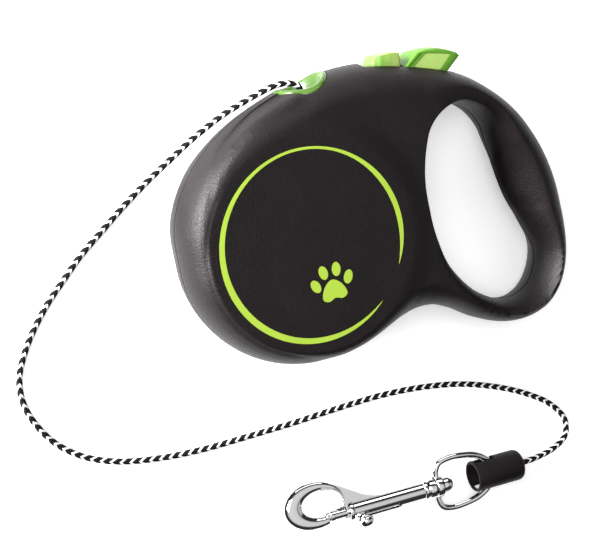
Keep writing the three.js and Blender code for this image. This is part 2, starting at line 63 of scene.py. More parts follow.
def add_camera():
    """The photo's view: from above and from the drum's side, through a long lens."""
    data = bpy.data.cameras.new("camera")
    data.lens = 100
    data.sensor_width = 36
    data.clip_start = 0.01
    back = Vector(CAMERA_BACK).normalized()
    right = Vector(CAMERA_RIGHT).normalized()
    up = back.cross(right)
    camera = bpy.data.objects.new("camera", data)
    turn = Matrix((right, up, back)).transposed().to_4x4()
    camera.matrix_world = Matrix.Translation(Vector(CAMERA_AT) * MM) @ turn
    bpy.context.scene.collection.objects.link(camera)
    bpy.context.scene.camera = camera


# ---------- curves and meshes ----------
CORNER_POINTS = 5


def catmull(points, closed, per_span=24):
    """Centripetal Catmull-Rom curve through the points, as a dense polyline."""
    p = np.array(points, float)
    n = len(p)
    if closed:
        ring = [p[i % n] for i in range(-1, n + 2)]
        spans = n
    else:
        ring = [2 * p[0] - p[1], *p, 2 * p[-1] - p[-2]]
        spans = n - 1
    out = []
    for i in range(spans):
        a, b, c, d = ring[i : i + 4]
        t1 = np.linalg.norm(b - a) ** 0.5
        t2 = t1 + np.linalg.norm(c - b) ** 0.5
        t3 = t2 + np.linalg.norm(d - c) ** 0.5
        for t in np.linspace(t1, t2, per_span, endpoint=False):
            ab = a + (b - a) * t / t1
            bc = b + (c - b) * (t - t1) / (t2 - t1)
            cd = c + (d - c) * (t - t2) / (t3 - t2)
            abc = ab + (bc - ab) * t / t2
            bcd = bc + (cd - bc) * (t - t1) / (t3 - t1)
            out.append(abc + (bcd - abc) * (t - t1) / (t2 - t1))
    if not closed:
        out.append(p[-1])
    return np.array(out)


def evenly(line, count, closed=False):
    """That many points at equal steps along a polyline."""
    if closed:
        line = np.vstack([line, line[:1]])
    length = np.concatenate([[0], np.cumsum(np.linalg.norm(np.diff(line, axis=0), axis=1))])
    at = np.linspace(0, length[-1], count, endpoint=not closed)
    return np.stack([np.interp(at, length, line[:, k]) for k in range(line.shape[1])], 1)


def polyline_length(line):
    return float(np.linalg.norm(np.diff(line, axis=0), axis=1).sum())


def smooth(x, low, high):
    """0 below low, 1 above high and a smooth rise between."""
    t = np.clip((np.asarray(x, float) - low) / (high - low), 0, 1)
    return t * t * (3 - 2 * t)


def mix(a, b, t):
    return a + (b - a) * t


def bell(x, middle, width):
    return np.exp(-(((x - middle) / width) ** 2))


def add_mesh(name, points, faces, sharp=None):
    """A smooth-shaded piece from points in millimetres, with edges over `sharp` degrees kept crisp."""
    mesh = bpy.data.meshes.new(name)
    mesh.from_pydata([tuple(p) for p in np.asarray(points, float) * MM], [], [tuple(f) for f in faces])
    mesh.validate()
    mesh.update()
    piece = bpy.data.objects.new(name, mesh)
    bpy.context.scene.collection.objects.link(piece)
    face_outwards(piece)
    shade(piece, sharp)
    return piece


def face_outwards(piece):
    work = bmesh.new()
    work.from_mesh(piece.data)
    bmesh.ops.recalc_face_normals(work, faces=work.faces)
    if work.calc_volume(signed=True) < 0:
        bmesh.ops.reverse_faces(work, faces=work.faces)
    work.to_mesh(piece.data)
    work.free()


def shade(piece, sharp):
    piece.data.polygons.foreach_set("use_smooth", [True] * len(piece.data.polygons))
    if sharp is not None:
        piece.data.set_sharp_from_angle(angle=math.radians(sharp))
    piece.data.update()


def apply_modifiers(piece):
    depsgraph = bpy.context.evaluated_depsgraph_get()
    mesh = bpy.data.meshes.new_from_object(piece.evaluated_get(depsgraph))
    old = piece.data
    piece.modifiers.clear()
    piece.data = mesh
    bpy.data.meshes.remove(old)


def boolean(piece, operation, other):
    """Joins the piece with another closed mesh, or cuts it by that mesh, and removes the other."""
    modifier = piece.modifiers.new("boolean", "BOOLEAN")
    modifier.operation = operation
    modifier.solver = "MANIFOLD"
    modifier.object = other
    apply_modifiers(piece)
    bpy.data.objects.remove(other)


def cutter(solid):
    return add_mesh("cutter", *solid)


def cut(piece, *others):
    for other in others:
        boolean(piece, "DIFFERENCE", other)


def bevel(piece, width, segments, angle):
    modifier = piece.modifiers.new("bevel", "BEVEL")
    modifier.width = width * MM
    modifier.segments = segments
    modifier.limit_method = "ANGLE"
    modifier.angle_limit = math.radians(angle)
    modifier.harden_normals = False
    apply_modifiers(piece)


def band(a, b, n):
    """Quads between two closed rows of n points, numbered from a and from b."""
    return [(a + i, a + (i + 1) % n, b + (i + 1) % n, b + i) for i in range(n)]


def loft(loops, closed=True):
    """Points and quads of a skin through loops of equal length; closed joins the last loop to the first."""
    n = len(loops[0])
    faces = []
    for k in range(len(loops) if closed else len(loops) - 1):
        faces += band(k * n, ((k + 1) % len(loops)) * n, n)
    return np.concatenate([np.asarray(loop, float) for loop in loops]), faces


def capped(loops):
    """A loft whose first and last loops are closed by a face each."""
    points, faces = loft(loops, closed=False)
    n = len(loops[0])
    last = len(points) - n
    return points, [*faces, tuple(range(n))[::-1], tuple(range(last, last + n))]


def oval(x, y, long, wide, count=72):
    a = np.linspace(0, 2 * math.pi, count, endpoint=False)
    return np.stack([x + long * np.cos(a), y + wide * np.sin(a)], 1)


def circle(radius, height, count=64):
    return np.column_stack([oval(0, 0, radius, radius, count), np.full(count, float(height))])


def turned(profile, count=64):
    """Loops about Z from [radius, height] points; a radius of 0 is closed by a tiny cap."""
    return [circle(max(r, 0.01), z, count) for r, z in profile]


def prism_y(outline, low, high):
    """A prism along Y of an outline given as x and z."""
    x, z = np.asarray(outline, float).T
    return capped([np.column_stack([x, np.full(len(x), y), z]) for y in (low, high)])


def layered(outline, levels):
    """The outline at each (height, inset), closed at both ends."""
    return capped([np.column_stack([inset(outline, by), np.full(len(outline), z)]) for z, by in levels])


def prism(outline, low, high):
    return layered(outline, [(low, 0), (high, 0)])


def inset(outline, by):
    """The outline moved inwards, corner by corner."""
    p = np.asarray(outline, float)
    return p - right_of(np.roll(p, -1, 0) - np.roll(p, 1, 0)) * by * (1 if signed_area(p) > 0 else -1)


def right_of(along):
    """Unit vectors of the plan, to the right of each direction."""
    along = along / np.maximum(np.linalg.norm(along, axis=1), 1e-9)[:, None]
    return np.stack([along[:, 1], -along[:, 0]], 1)


def signed_area(loop):
    """Twice the area of a closed outline, negative where it runs clockwise."""
    x, y = loop[:, 0], loop[:, 1]
    return np.sum(x * np.roll(y, -1) - np.roll(x, -1) * y)


def rounded(corners, radius):
    """The polygon with each corner rounded by about that radius."""
    p = np.array(corners, float)
    out = []
    for before, corner, after in zip(np.roll(p, 1, 0), p, np.roll(p, -1, 0)):
        start, end = (corner + way * (min(radius, 0.45 * np.linalg.norm(way)) / np.linalg.norm(way))
                      for way in (before - corner, after - corner))
        for t in np.linspace(0, 1, CORNER_POINTS):
            out.append((1 - t) ** 2 * start + 2 * t * (1 - t) * corner + t * t * end)
    return np.array(out)


def ring_tube(line, radii, sides):
    """Loops of a tube along a polyline, with a frame that turns as little as it can."""
    line = np.asarray(line, float)
    tangent = np.gradient(line, axis=0)
    tangent /= np.linalg.norm(tangent, axis=1)[:, None]
    normal = np.cross(tangent[0], [0, 0, 1.0])
    angles = np.linspace(0, 2 * math.pi, sides, endpoint=False)
    loops = []
    for at, t, r in zip(line, tangent, radii):
        normal = normal - t * (normal @ t)
        normal /= np.linalg.norm(normal)
        side = np.cross(t, normal)
        loops.append(at + (np.cos(angles) * r)[:, None] * normal + (np.sin(angles) * r)[:, None] * side)
    return loops


# ---------- free cord ----------
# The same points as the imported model's cord, in metres: out of the outlet, down to the floor, to the cuff.
CORD_DIAMETER = 0.0023
CORD_ROUTE = [
    (0.0022, 0.0519, 0.016), (0.0004, 0.0544, 0.016), (-0.0036, 0.0553, 0.016),
    (-0.0078, 0.0546, 0.0159), (-0.0114, 0.053, 0.0152), (-0.0216, 0.047, 0.0119),
    (-0.0263, 0.0437, 0.01), (-0.0356, 0.0356, 0.0058), (-0.0408, 0.0305, 0.0039),
    (-0.0489, 0.0228, 0.002), (-0.0576, 0.0144, 0.0013), (-0.0663, 0.0053, 0.00125),
    (-0.075, -0.0041, 0.00125), (-0.0813, -0.0124, 0.00125), (-0.0869, -0.0202, 0.00125),
    (-0.0916, -0.0284, 0.00125), (-0.0952, -0.0368, 0.00125), (-0.0972, -0.0456, 0.00125),
    (-0.096, -0.0542, 0.00125), (-0.092, -0.0618, 0.00125), (-0.0852, -0.0692, 0.00125),
    (-0.0756, -0.0748, 0.00125), (-0.0635, -0.0779, 0.00125), (-0.048, -0.0783, 0.00125),
    (-0.0317, -0.0767, 0.00125), (-0.0135, -0.0734, 0.00125), (0.0052, -0.0697, 0.00125),
    (0.023, -0.0657, 0.00125), (0.041, -0.0622, 0.00125), (0.058, -0.0605, 0.00125),
    (0.074, -0.0606, 0.00125), (0.09, -0.063, 0.00125), (0.104, -0.067, 0.00125),
    (0.1144, -0.072, 0.00125), (0.1206, -0.0784, 0.0014), (0.1204, -0.0846, 0.0022),
    (0.1148, -0.0888, 0.0035), (0.107, -0.0913, 0.005), (0.0998, -0.0927, 0.006),
    (0.0956, -0.0934, 0.0061),
]
BRAID_PITCH = 3.65
BRAID_SIDES = 24
BRAID_STEPS = 10  # along one pitch
BRAID_DEPTH = 0.075  # of the radius, between two strands
STRAND_LEAN = 1.15
SEAM_SHARE = 0.16  # of a half turn, on each side of the line where the strands cross over
SEAM_DEPTH = 0.8


def braided(line, radius):
    """Loops of a braided cord and its braid coordinates: pitches along, turns around."""
    length = polyline_length(line)
    count = int(length / BRAID_PITCH * BRAID_STEPS)
    line = evenly(line, count)
    along = np.linspace(0, length / BRAID_PITCH, count)
    around = np.arange(BRAID_SIDES) / BRAID_SIDES
    radii = [radius * (1 - BRAID_DEPTH * strand_dip(a, around)) for a in along]
    return ring_tube(line, radii, BRAID_SIDES), along


def strand_dip(along, around):
    """0 on the crown of a strand, 1 between two of them."""
    vee = np.abs(((around * 2) % 1) * 2 - 1)
    crown = np.abs(((along * 2 - STRAND_LEAN * vee) % 1) * 2 - 1)
    seam = 1 - np.clip(vee / SEAM_SHARE, 0, 1)
    return np.maximum(crown ** 3, SEAM_DEPTH * seam)


def add_braid_uv(piece, along):
    """Stores the braid coordinates on the corners, where they can wrap round the cord."""
    layer = piece.data.uv_layers.new(name="braid")
    for polygon in piece.data.polygons:
        corners = list(zip(polygon.loop_indices, polygon.vertices))
        wraps = {v % BRAID_SIDES for _, v in corners} == {0, BRAID_SIDES - 1}
        for corner, v in corners:
            side = v % BRAID_SIDES
            turn = 1.0 if wraps and side == 0 else side / BRAID_SIDES
            layer.data[corner].uv = (along[min(v // BRAID_SIDES, len(along) - 1)], turn)


def add_cord():
    line = catmull(np.array(CORD_ROUTE) / MM, False)
    loops, along = braided(line, CORD_DIAMETER / MM / 2)
    piece = add_mesh("braided_cord", *capped(loops))
    add_braid_uv(piece, along)
    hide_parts("cord")
    dress(piece, "root", "cord_braid")
    return piece, line


# ---------- the case's outlines, parting plane, drum's axis at 0, 0 ----------
DRUM_R = 44.3
DISC_R = 38.5
SPINE_AND_HANDLE = [
    (-45.4, 4.5), (-43.8, 14.5), (-38.5, 26.3), (-32, 34.8), (-24.5, 41.8), (-17, 47), (-9.4, 51.5),
    (0.4, 56.3), (11, 59.6), (22, 61.9), (33, 62.3), (45, 61.6), (56, 60), (64.3, 57.7), (72.2, 54),
    (80.6, 48.9), (88.6, 41.9), (96.6, 31.2), (102.8, 17.8), (106.3, 2.1), (106.7, -8.5),
    (105.7, -15.8), (103.2, -22.4), (98.6, -28.4), (90.2, -32.8), (81, -33.9), (70, -31.6),
    (60, -27.6), (52, -25.9), (44.4, -27.2), (34.5, -32.2),
]
DRUM_ARC = [(DRUM_R * math.cos(math.radians(a)), DRUM_R * math.sin(math.radians(a)))
            for a in range(-60, -176, -14)]
OPENING = [
    (45, 31), (44.8, 21.5), (46.2, 12.8), (48.2, 6), (51.8, -2), (57.5, -10.5), (66.5, -19), (74, -23.3),
    (81.8, -25.5), (89.3, -24.2), (95, -18.6), (96.6, -8.6), (89.6, 4), (84.2, 11.6), (80.6, 18.6),
    (77.9, 25.6), (75.5, 32), (72.2, 40), (67, 45.4), (59, 47.7), (52, 45.2), (47, 39.6),
]
# The line where the spine's shoulder rises out of the drum's rim, from the outlet to the disc.
SHOULDER = [
    (-7, 52.2), (-10.6, 50.1), (-13.9, 48.2), (-17.8, 45.6), (-21.9, 42.4), (-25.9, 38.8),
    (-29.9, 34.5), (-32.7, 30.5), (-35, 25.9), (-36.1, 22), (-37.3, 16.7), (-38.9, 10.1), (-39.3, 2),
]
CREASE = evenly(catmull(SHOULDER, False), 80)


def holds(loop, p):
    """Which of the points p lie inside a closed outline."""
    a, b = loop, np.roll(loop, -1, 0)
    x, y = p[:, :1], p[:, 1:]
    crosses = (a[:, 1] > y) != (b[:, 1] > y)
    with np.errstate(divide="ignore", invalid="ignore"):
        at = a[:, 0] + (y - a[:, 1]) * (b[:, 0] - a[:, 0]) / (b[:, 1] - a[:, 1])
    return (crosses & (x < at)).sum(1) % 2 == 1


class Loop:
    """A closed outline with its outward normals."""

    def __init__(self, control, count):
        points = evenly(catmull(control, True), count, closed=True)
        along = np.roll(points, -1, 0) - np.roll(points, 1, 0)
        if signed_area(points) < 0:
            points, along = points[::-1], -along[::-1]
        self.points = points
        self.normals = right_of(along)

    def moved(self, outwards):
        return self.points + self.normals * outwards


def distance_to(line, p, closed=True):
    """Distance from each point to a polyline, and which side of it (1 on its right) each lies on."""
    a = line if closed else line[:-1]
    b = np.roll(line, -1, 0) if closed else line[1:]
    best = np.full(len(p), 1e9)
    side = np.ones(len(p))
    for start, end in zip(a, b):
        run = end - start
        t = np.clip((p - start) @ run / (run @ run), 0, 1)
        away = p - start - t[:, None] * run
        d = np.hypot(away[:, 0], away[:, 1])
        nearer = d < best
        best = np.where(nearer, d, best)
        side = np.where(nearer, np.sign(run[1] * away[:, 0] - run[0] * away[:, 1]), side)
    return best, side


RIM = Loop([*SPINE_AND_HANDLE, *DRUM_ARC], 420)
LIP = Loop(OPENING, 200)

DRUM_EDGE = 15.98  # crest of the drum's rim above the parting plane
DRUM_DIP = 0.05  # fall of the drum's face inside the crest
DIP_REACH = (3.4, 6)  # distance from the outline over which it falls
# How far the drum's rounded rim reaches in, and its superellipse power: softer in front than at the back.
FRONT_RIM = (7.2, 1.85)
BACK_RIM = (5.4, 1.75)
FACE = 15.0  # flat face of the spine
SPINE_ROUND = 10.0
GRIP_CREST = 13.0
GRIP_ROUND = 8.5
GRIP_FROM, GRIP_TO = 45, 80  # x where the spine starts to slim down, and where it is the grip
EDGE_SHARE = 1.2  # a rounded edge is cut off where 1 / EDGE_SHARE of its ellipse is used
# How high and how wide the opening's rounded edge is, by direction from the opening's middle (degrees).
LIP_AT = [-180, -150, -125, -100, -60, -30, 0, 40, 65, 80, 95, 120, 180]
LIP_HIGH = [15, 15, 14.6, 13.6, 11, 8, 4.6, 3.6, 4.4, 7.5, 12.5, 15, 15]
LIP_WIDE = [1.6, 2.6, 4.4, 4.8, 5, 5, 4.4, 4, 3.8, 3, 2, 1.6, 1.6]
LIP_CENTRE = (70, 10)
NARROW_LIMIT = 60  # the distances to both edges matter only up to this sum
UPPER_FROM = 80  # degrees round the drum's axis: from here on the spine's upper end, before it the lower one
LOWER_FADE = (55, 105)  # degrees below the X axis over which the lower spine turns into the drum
UPPER_RISE = (14, 32)  # y over which the upper spine rises out of the drum
SHOULDER_WIDTH = 4.5
CREASE_DEPTH = (0.45, 2.8)  # on the gentle lower part and on the steep upper part
CREASE_WIDTH = (1.3, 0.6)
STEEP_RISE = (20, 44)  # y between these two parts
CREASE_RISE = (4, 22)  # y over which the crease starts
CREASE_EDGE = (0.15, 0.6)  # distance from the outline over which it ends
BULGE_HEIGHT = 0.9  # of the shoulder beside the crease
BULGE_AT = 3
BULGE_WIDTH = 2
BULGE_RISE = (14, 30)
BULGE_EDGE = (1, 3)
GROOVE_DEPTH = 0.15  # round the disc
GROOVE_R = 39.1
GROOVE_WIDTH = 0.45
DISC_FADE = (0.2, 9)  # how far past its radius the disc runs out, on the drum and on the spine


def round_edge(d, width):
    """From 0 at the edge to 1 where the flat face starts: a quarter ellipse, cut off with a slight crease."""
    t = np.clip(d / (EDGE_SHARE * width), 0, 1)
    return np.minimum(1, np.sqrt(1 - (1 - t) ** 2) / math.sqrt(1 - (1 - 1 / EDGE_SHARE) ** 2))


def spine_height(p, outer, inner):
    """The spine and the grip: a flat face between the rounded outer edge and the opening's lip."""
    x, y = p[:, 0], p[:, 1]
    narrow = np.minimum(outer + inner, NARROW_LIMIT) / 2
    slim = smooth(x, GRIP_FROM, GRIP_TO)
    phi = np.degrees(np.arctan2(y - LIP_CENTRE[1], x - LIP_CENTRE[0]))
    lip_high = np.interp(phi, LIP_AT, LIP_HIGH)
    lip_wide = np.minimum(np.interp(phi, LIP_AT, LIP_WIDE), narrow)
    crest = mix(FACE, GRIP_CREST, slim)
    wide = np.minimum(mix(SPINE_ROUND, GRIP_ROUND, slim), narrow)
    across = smooth((outer - wide) / np.maximum(outer + inner - wide, 0.1), 0, 1)
    spine = (crest - np.maximum(crest - lip_high, 0) * across) * round_edge(outer, wide)
    return spine * round_edge(inner, lip_wide)


def drum_height(outer, drum_rim):
    reach, power = drum_rim
    t = np.clip(outer / reach, 0, 1)
    return DRUM_EDGE * (1 - (1 - t) ** power) ** (1 / power) - DRUM_DIP * smooth(outer, *DIP_REACH)


def case_height(p, drum_rim):
    """Height of the case's skin above the parting plane at each point."""
    x, y = p[:, 0], p[:, 1]
    r = np.hypot(x, y)
    theta = np.degrees(np.arctan2(y, x))
    outer, _ = distance_to(RIM.points, p)
    inner, _ = distance_to(LIP.points, p)
    away, side = distance_to(CREASE, p, closed=False)
    past = -away * side  # positive on the spine's side of the crease

    upper = theta > UPPER_FROM
    lower_end = 1 - smooth(np.where(theta < 0, -theta, 0), *LOWER_FADE)
    upper_end = smooth(past, 0, SHOULDER_WIDTH) * smooth(y, *UPPER_RISE)
    is_spine = np.where(upper, upper_end, lower_end)
    height = mix(drum_height(outer, drum_rim), spine_height(p, outer, inner), is_spine)

    steep = smooth(y, *STEEP_RISE)
    crease = mix(*CREASE_DEPTH, steep) * bell(past, 0, mix(*CREASE_WIDTH, steep))
    crease = crease * smooth(outer, *CREASE_EDGE) * smooth(y, *CREASE_RISE)
    bulge = BULGE_HEIGHT * bell(past, BULGE_AT, BULGE_WIDTH)
    bulge = bulge * smooth(outer, *BULGE_EDGE) * smooth(y, *BULGE_RISE)
    groove = GROOVE_DEPTH * bell(r, GROOVE_R, GROOVE_WIDTH) * (1 - is_spine)
    height = height + (bulge - crease) * upper - groove
    disc = 1 - smooth(r, DISC_R - 0.5, DISC_R + mix(*DISC_FADE, is_spine))
    return mix(height, TOP - MID, disc)


# ---------- the case's mesh ----------
SEAM_GAP = 0.12
WALL = 2.4
GRID_STEP = 1.15
INNER_STEP = 3.0
GRID_LOW, GRID_HIGH = (-46, -46), (108, 64)
RIM_RINGS = [0.0, 0.06, 0.2, 0.45, 0.7, 0.95, 1.2, 1.5, 1.8, 2.15, 2.5]
CREASE_ROWS = [-1.5, -0.9, -0.45, 0, 0.45, 0.9, 1.5]
DISC_RINGS = [37.2, 37.7, 38.0, 38.2, 38.4, 38.6, 38.8, 39.1, 39.5, 40.0, 40.6, 41.3, 42.1]
RING_POINTS = 200
RING_STAGGER = 0.0157  # half a step of such a ring, in radians


def hex_grid(low, high, step):
    rows = np.arange(low[1], high[1], step * math.sqrt(0.75))
    out = []
    for k, y in enumerate(rows):
        xs = np.arange(low[0] + (k % 2) * step / 2, high[0], step)
        out.append(np.stack([xs, np.full(len(xs), y)], 1))
    return np.concatenate(out)


def sheet_points(rim_inset, step, disc_rings):
    """Free points inside the inset outlines: a grid, rings at the disc's edge and rows along the crease."""
    grid = hex_grid(GRID_LOW, GRID_HIGH, step)
    r = np.hypot(grid[:, 0], grid[:, 1])
    near = (r > disc_rings[0] - step / 2) & (r < disc_rings[-1] + step / 2)
    thinned = (r < disc_rings[0]) & (np.arange(len(r)) % 5 != 0)
    grid = grid[~near & ~thinned]
    beside, _ = distance_to(CREASE, grid, closed=False)
    grid = grid[beside > CREASE_ROWS[-1] + step / 2]
    rings = [circle(ring, 0, RING_POINTS)[:, :2] @ Matrix.Rotation(RING_STAGGER * (k % 2), 2)
             for k, ring in enumerate(disc_rings)]
    rows = [CREASE + past * right_of(np.gradient(CREASE, axis=0)) for past in CREASE_ROWS]
    points = np.concatenate([grid, *rings, *rows])
    clear = rim_inset + 0.55 * step
    points = points[holds(RIM.points, points) & ~holds(LIP.points, points)]
    outer, _ = distance_to(RIM.points, points)
    inner, _ = distance_to(LIP.points, points)
    return points[(outer > clear) & (inner > clear)]


def fill(outline, hole, free):
    """Triangles over the area between two loops, through the free points."""
    points = np.concatenate([outline, hole, free])
    n, m = len(outline), len(hole)
    edges = [(i, (i + 1) % n) for i in range(n)] + [(n + i, n + (i + 1) % m) for i in range(m)]
    _, _, faces, origin, _, _ = delaunay_2d_cdt([Vector(p) for p in points], edges, [], 1, 1e-7)
    index = [o[0] for o in origin]
    faces = np.array([[index[v] for v in f] for f in faces])
    return faces[~holds(hole, points[faces].mean(1))]


def half_shell(drum_rim):
    """Points and faces of one hollow half of the case, above its parting plane at height 0."""
    points = []
    faces = []

    def outside(at):
        return case_height(at, drum_rim)

    def inside(at):
        return np.maximum(outside(at) - WALL, 1.0)

    def add(at, height):
        """Adds a row of points, and returns the number of its first one."""
        start = sum(len(p) for p in points)
        points.append(np.column_stack([at, np.broadcast_to(height, len(at))]))
        return start

    def outer_wall(loop, sign):
        """The bevelled edge at the seam and the rings up the wall. Returns the lowest and highest row."""
        starts = []
        for inset_by, lift in ((0.32, 0), (0.1, 0.07), (0.0, 0.3)):
            starts.append(add(loop.moved(-sign * inset_by), SEAM_GAP + lift))
        for inset_by in RIM_RINGS[1:]:
            at = loop.moved(-sign * inset_by)
            starts.append(add(at, np.maximum(outside(at), SEAM_GAP + 0.4)))
        for a, b in zip(starts, starts[1:]):
            faces.extend(band(a, b, len(loop.points)))
        return starts[0], starts[-1]

    def inner_wall(loop, sign):
        at = loop.moved(-sign * WALL)
        low, high = add(at, SEAM_GAP), add(at, inside(at))
        faces.extend(band(low, high, len(loop.points)))
        return low, high

    def skin(outline_start, hole_start, free, height):
        total = np.concatenate(points)[:, :2]
        n, m = len(RIM.points), len(LIP.points)
        outline, hole = total[outline_start : outline_start + n], total[hole_start : hole_start + m]
        added = add(free, height(free))
        where = np.concatenate([outline_start + np.arange(n), hole_start + np.arange(m),
                                added + np.arange(len(free))])
        faces.extend(tuple(where[t]) for t in fill(outline, hole, free))

    rim_low, rim_high = outer_wall(RIM, 1)
    lip_low, lip_high = outer_wall(LIP, -1)
    skin(rim_high, lip_high, sheet_points(RIM_RINGS[-1], GRID_STEP, DISC_RINGS), outside)
    rim_inner_low, rim_inner_high = inner_wall(RIM, 1)
    lip_inner_low, lip_inner_high = inner_wall(LIP, -1)
    skin(rim_inner_high, lip_inner_high, sheet_points(WALL, INNER_STEP, DISC_RINGS[::3]), inside)
    faces.extend(band(rim_low, rim_inner_low, len(RIM.points)))
    faces.extend(band(lip_low, lip_inner_low, len(LIP.points)))
    return np.concatenate(points), faces


# ---------- materials ----------
def new_material(name):
    material = bpy.data.materials.new(name)
    material.use_nodes = True
    tree = material.node_tree
    return material, tree, tree.nodes["Principled BSDF"]


def feed(tree, target, inputs):
    """Links each input of the node to the output given for it, or sets it to the value given."""
    for key, value in inputs.items():
        socket = target.inputs[key]
        if hasattr(value, "is_output"):
            tree.links.new(value, socket)
        else:
            socket.default_value = value


def node(tree, kind, inputs=None, **settings):
    made = tree.nodes.new(kind)
    for key, value in settings.items():
        setattr(made, key, value)
    feed(tree, made, inputs or {})
    return made


def noise(tree, scale, detail=2.0, roughness=0.5):
    where = node(tree, "ShaderNodeTexCoord").outputs["Object"]
    made = node(tree, "ShaderNodeTexNoise",
                {"Vector": where, "Scale": scale, "Detail": detail, "Roughness": roughness})
    return made.outputs["Fac"]


def ramp(tree, fac, *stops, interpolation="LINEAR"):
    """A ramp through stops of a position and a colour, where a colour of one number is a grey."""
    made = node(tree, "ShaderNodeValToRGB", {"Fac": fac})
    made.color_ramp.interpolation = interpolation
    elements = made.color_ramp.elements
    while len(elements) < len(stops):
        elements.new(0.5)
    for element, (at, colour) in zip(elements, stops):
        element.position = at
        element.color = (*colour, 1) if len(colour) == 3 else (colour[0],) * 3 + (1,)
    return made.outputs["Color"]


def maths(tree, operation, a, b=0.0, c=0.0):
    return node(tree, "ShaderNodeMath", {0: a, 1: b, 2: c}, operation=operation).outputs[0]


def bump(tree, height, strength, distance):
    inputs = {"Height": height, "Strength": strength, "Distance": distance * MM}
    return node(tree, "ShaderNodeBump", inputs).outputs["Normal"]


def grained_plastic(name, dark, light, rough, gloss=0.25, grain=0.7, scale=1700.0):
    """Moulded plastic with a spark-eroded grain: colour flecks, uneven gloss and a fine bump."""
    material, tree, shader = new_material(name)
    fine = noise(tree, scale, 2.0, 0.6)
    broad = noise(tree, 60.0, 3.0)
    fleck = maths(tree, "MULTIPLY", fine, broad)
    feed(tree, shader, {
        "Base Color": ramp(tree, fleck, (0.12, dark), (0.42, light)),
        "Roughness": ramp(tree, fine, (0.3, (rough - 0.07,)), (0.7, (rough + 0.08,))),
        "Specular IOR Level": gloss,
        "Normal": bump(tree, fine, grain, 0.18),
    })
    return material


def smooth_plastic(name, dark, light, rough, wave=0.12, gloss=0.35):
    """Polished or silky moulded plastic with faint flow marks."""
    material, tree, shader = new_material(name)
    feed(tree, shader, {
        "Base Color": ramp(tree, noise(tree, 90.0, 3.0), (0.3, dark), (0.7, light)),
        "Roughness": ramp(tree, noise(tree, 500.0, 3.0), (0.3, (rough - 0.03,)), (0.7, (rough + 0.04,))),
        "Specular IOR Level": gloss,
        "Normal": bump(tree, noise(tree, 700.0, 2.0), wave, 0.05),
    })
    return material


SWITCH_FROM, SWITCH_TO = 0.0265, 0.0355  # x over which the lock's green changes, in metres
SWITCH_BLUR = 0.002  # metres by which the change wanders


def switch_plastic():
    """The lock's plastic: deeper green at its front end, paler towards the brake; the deeper green is painted
    shade and the paler green painted light.
    """
    material, tree, shader = new_material("switch_green")
    where = node(tree, "ShaderNodeTexCoord").outputs["Object"]
    along = node(tree, "ShaderNodeSeparateXYZ", {"Vector": where}).outputs["X"]
    uneven = maths(tree, "MULTIPLY_ADD", noise(tree, 400.0), SWITCH_BLUR, -SWITCH_BLUR / 2)
    place = maths(tree, "ADD", along, uneven)
    reach = {"Value": place, "From Min": SWITCH_FROM, "From Max": SWITCH_TO}
    share = node(tree, "ShaderNodeMapRange", reach).outputs[0]
    # painted shade at the lock's front end, painted light towards the brake
    colour = ramp(tree, share, (0.0, (0.09, 0.15, 0.022)), (0.35, (0.075, 0.17, 0.018)),
                  (0.9, (0.19, 0.27, 0.06)))
    feed(tree, shader, {"Base Color": colour, "Roughness": 0.3, "Specular IOR Level": 0.35})
    return material


def plated(name, colour, rough, wear=0.05):
    """Plated or bright metal with fine polishing marks and a slightly wavy casting under it."""
    material, tree, shader = new_material(name)
    marks = noise(tree, 900.0, 4.0, 0.7)
    tint = tuple(c * 0.93 for c in colour)
    feed(tree, shader, {
        "Metallic": 1.0,
        "Base Color": ramp(tree, marks, (0.3, tint), (0.65, colour)),
        "Roughness": ramp(tree, marks, (0.35, (rough,)), (0.75, (rough + wear,))),
        "Normal": bump(tree, noise(tree, 260.0, 2.0), 0.12, 0.06),
    })
    return material


BLACK_SHARE = 0.71  # of a pitch; the rest is white
BRAID_FUZZ = 0.16


def braid_material():
    """Black and white herringbone, drawn from the braid coordinates."""
    material, tree, shader = new_material("cord_braid")
    where = node(tree, "ShaderNodeUVMap", uv_map="braid").outputs["UV"]
    split = node(tree, "ShaderNodeSeparateXYZ", {"Vector": where})
    # Distance from the nearest of the two seams along the cord, 0 to 1.
    twice = maths(tree, "FRACT", maths(tree, "MULTIPLY", split.outputs["Y"], 2.0))
    vee = maths(tree, "ABSOLUTE", maths(tree, "MULTIPLY_ADD", twice, 2.0, -1.0))
    leaning = maths(tree, "MULTIPLY_ADD", vee, -STRAND_LEAN / 2, split.outputs["X"])
    fuzz = maths(tree, "MULTIPLY_ADD", noise(tree, 3000.0, 2.0), BRAID_FUZZ, -BRAID_FUZZ / 2)
    phase = maths(tree, "ADD", maths(tree, "FRACT", leaning), fuzz)
    colour = ramp(tree, phase, (0.0, (0.004, 0.004, 0.005)), (BLACK_SHARE, (0.72, 0.72, 0.71)),
                  interpolation="CONSTANT")
    feed(tree, shader, {"Base Color": colour, "Roughness": 0.85, "Specular IOR Level": 0.12,
                        "Normal": bump(tree, noise(tree, 5200.0, 2.0), 0.4, 0.08)})
    return material


def floor_material():
    """White, with a little light of its own, so that it stays white inside the handle's opening."""
    material, tree, shader = new_material("floor")
    tint = ramp(tree, noise(tree, 4.0), (0.3, (0.86,)), (0.7, (0.88,)))
    feed(tree, shader, {"Base Color": tint, "Emission Color": tint, "Emission Strength": 0.42,
                        "Roughness": 0.6, "Specular IOR Level": 0.2})
    return material


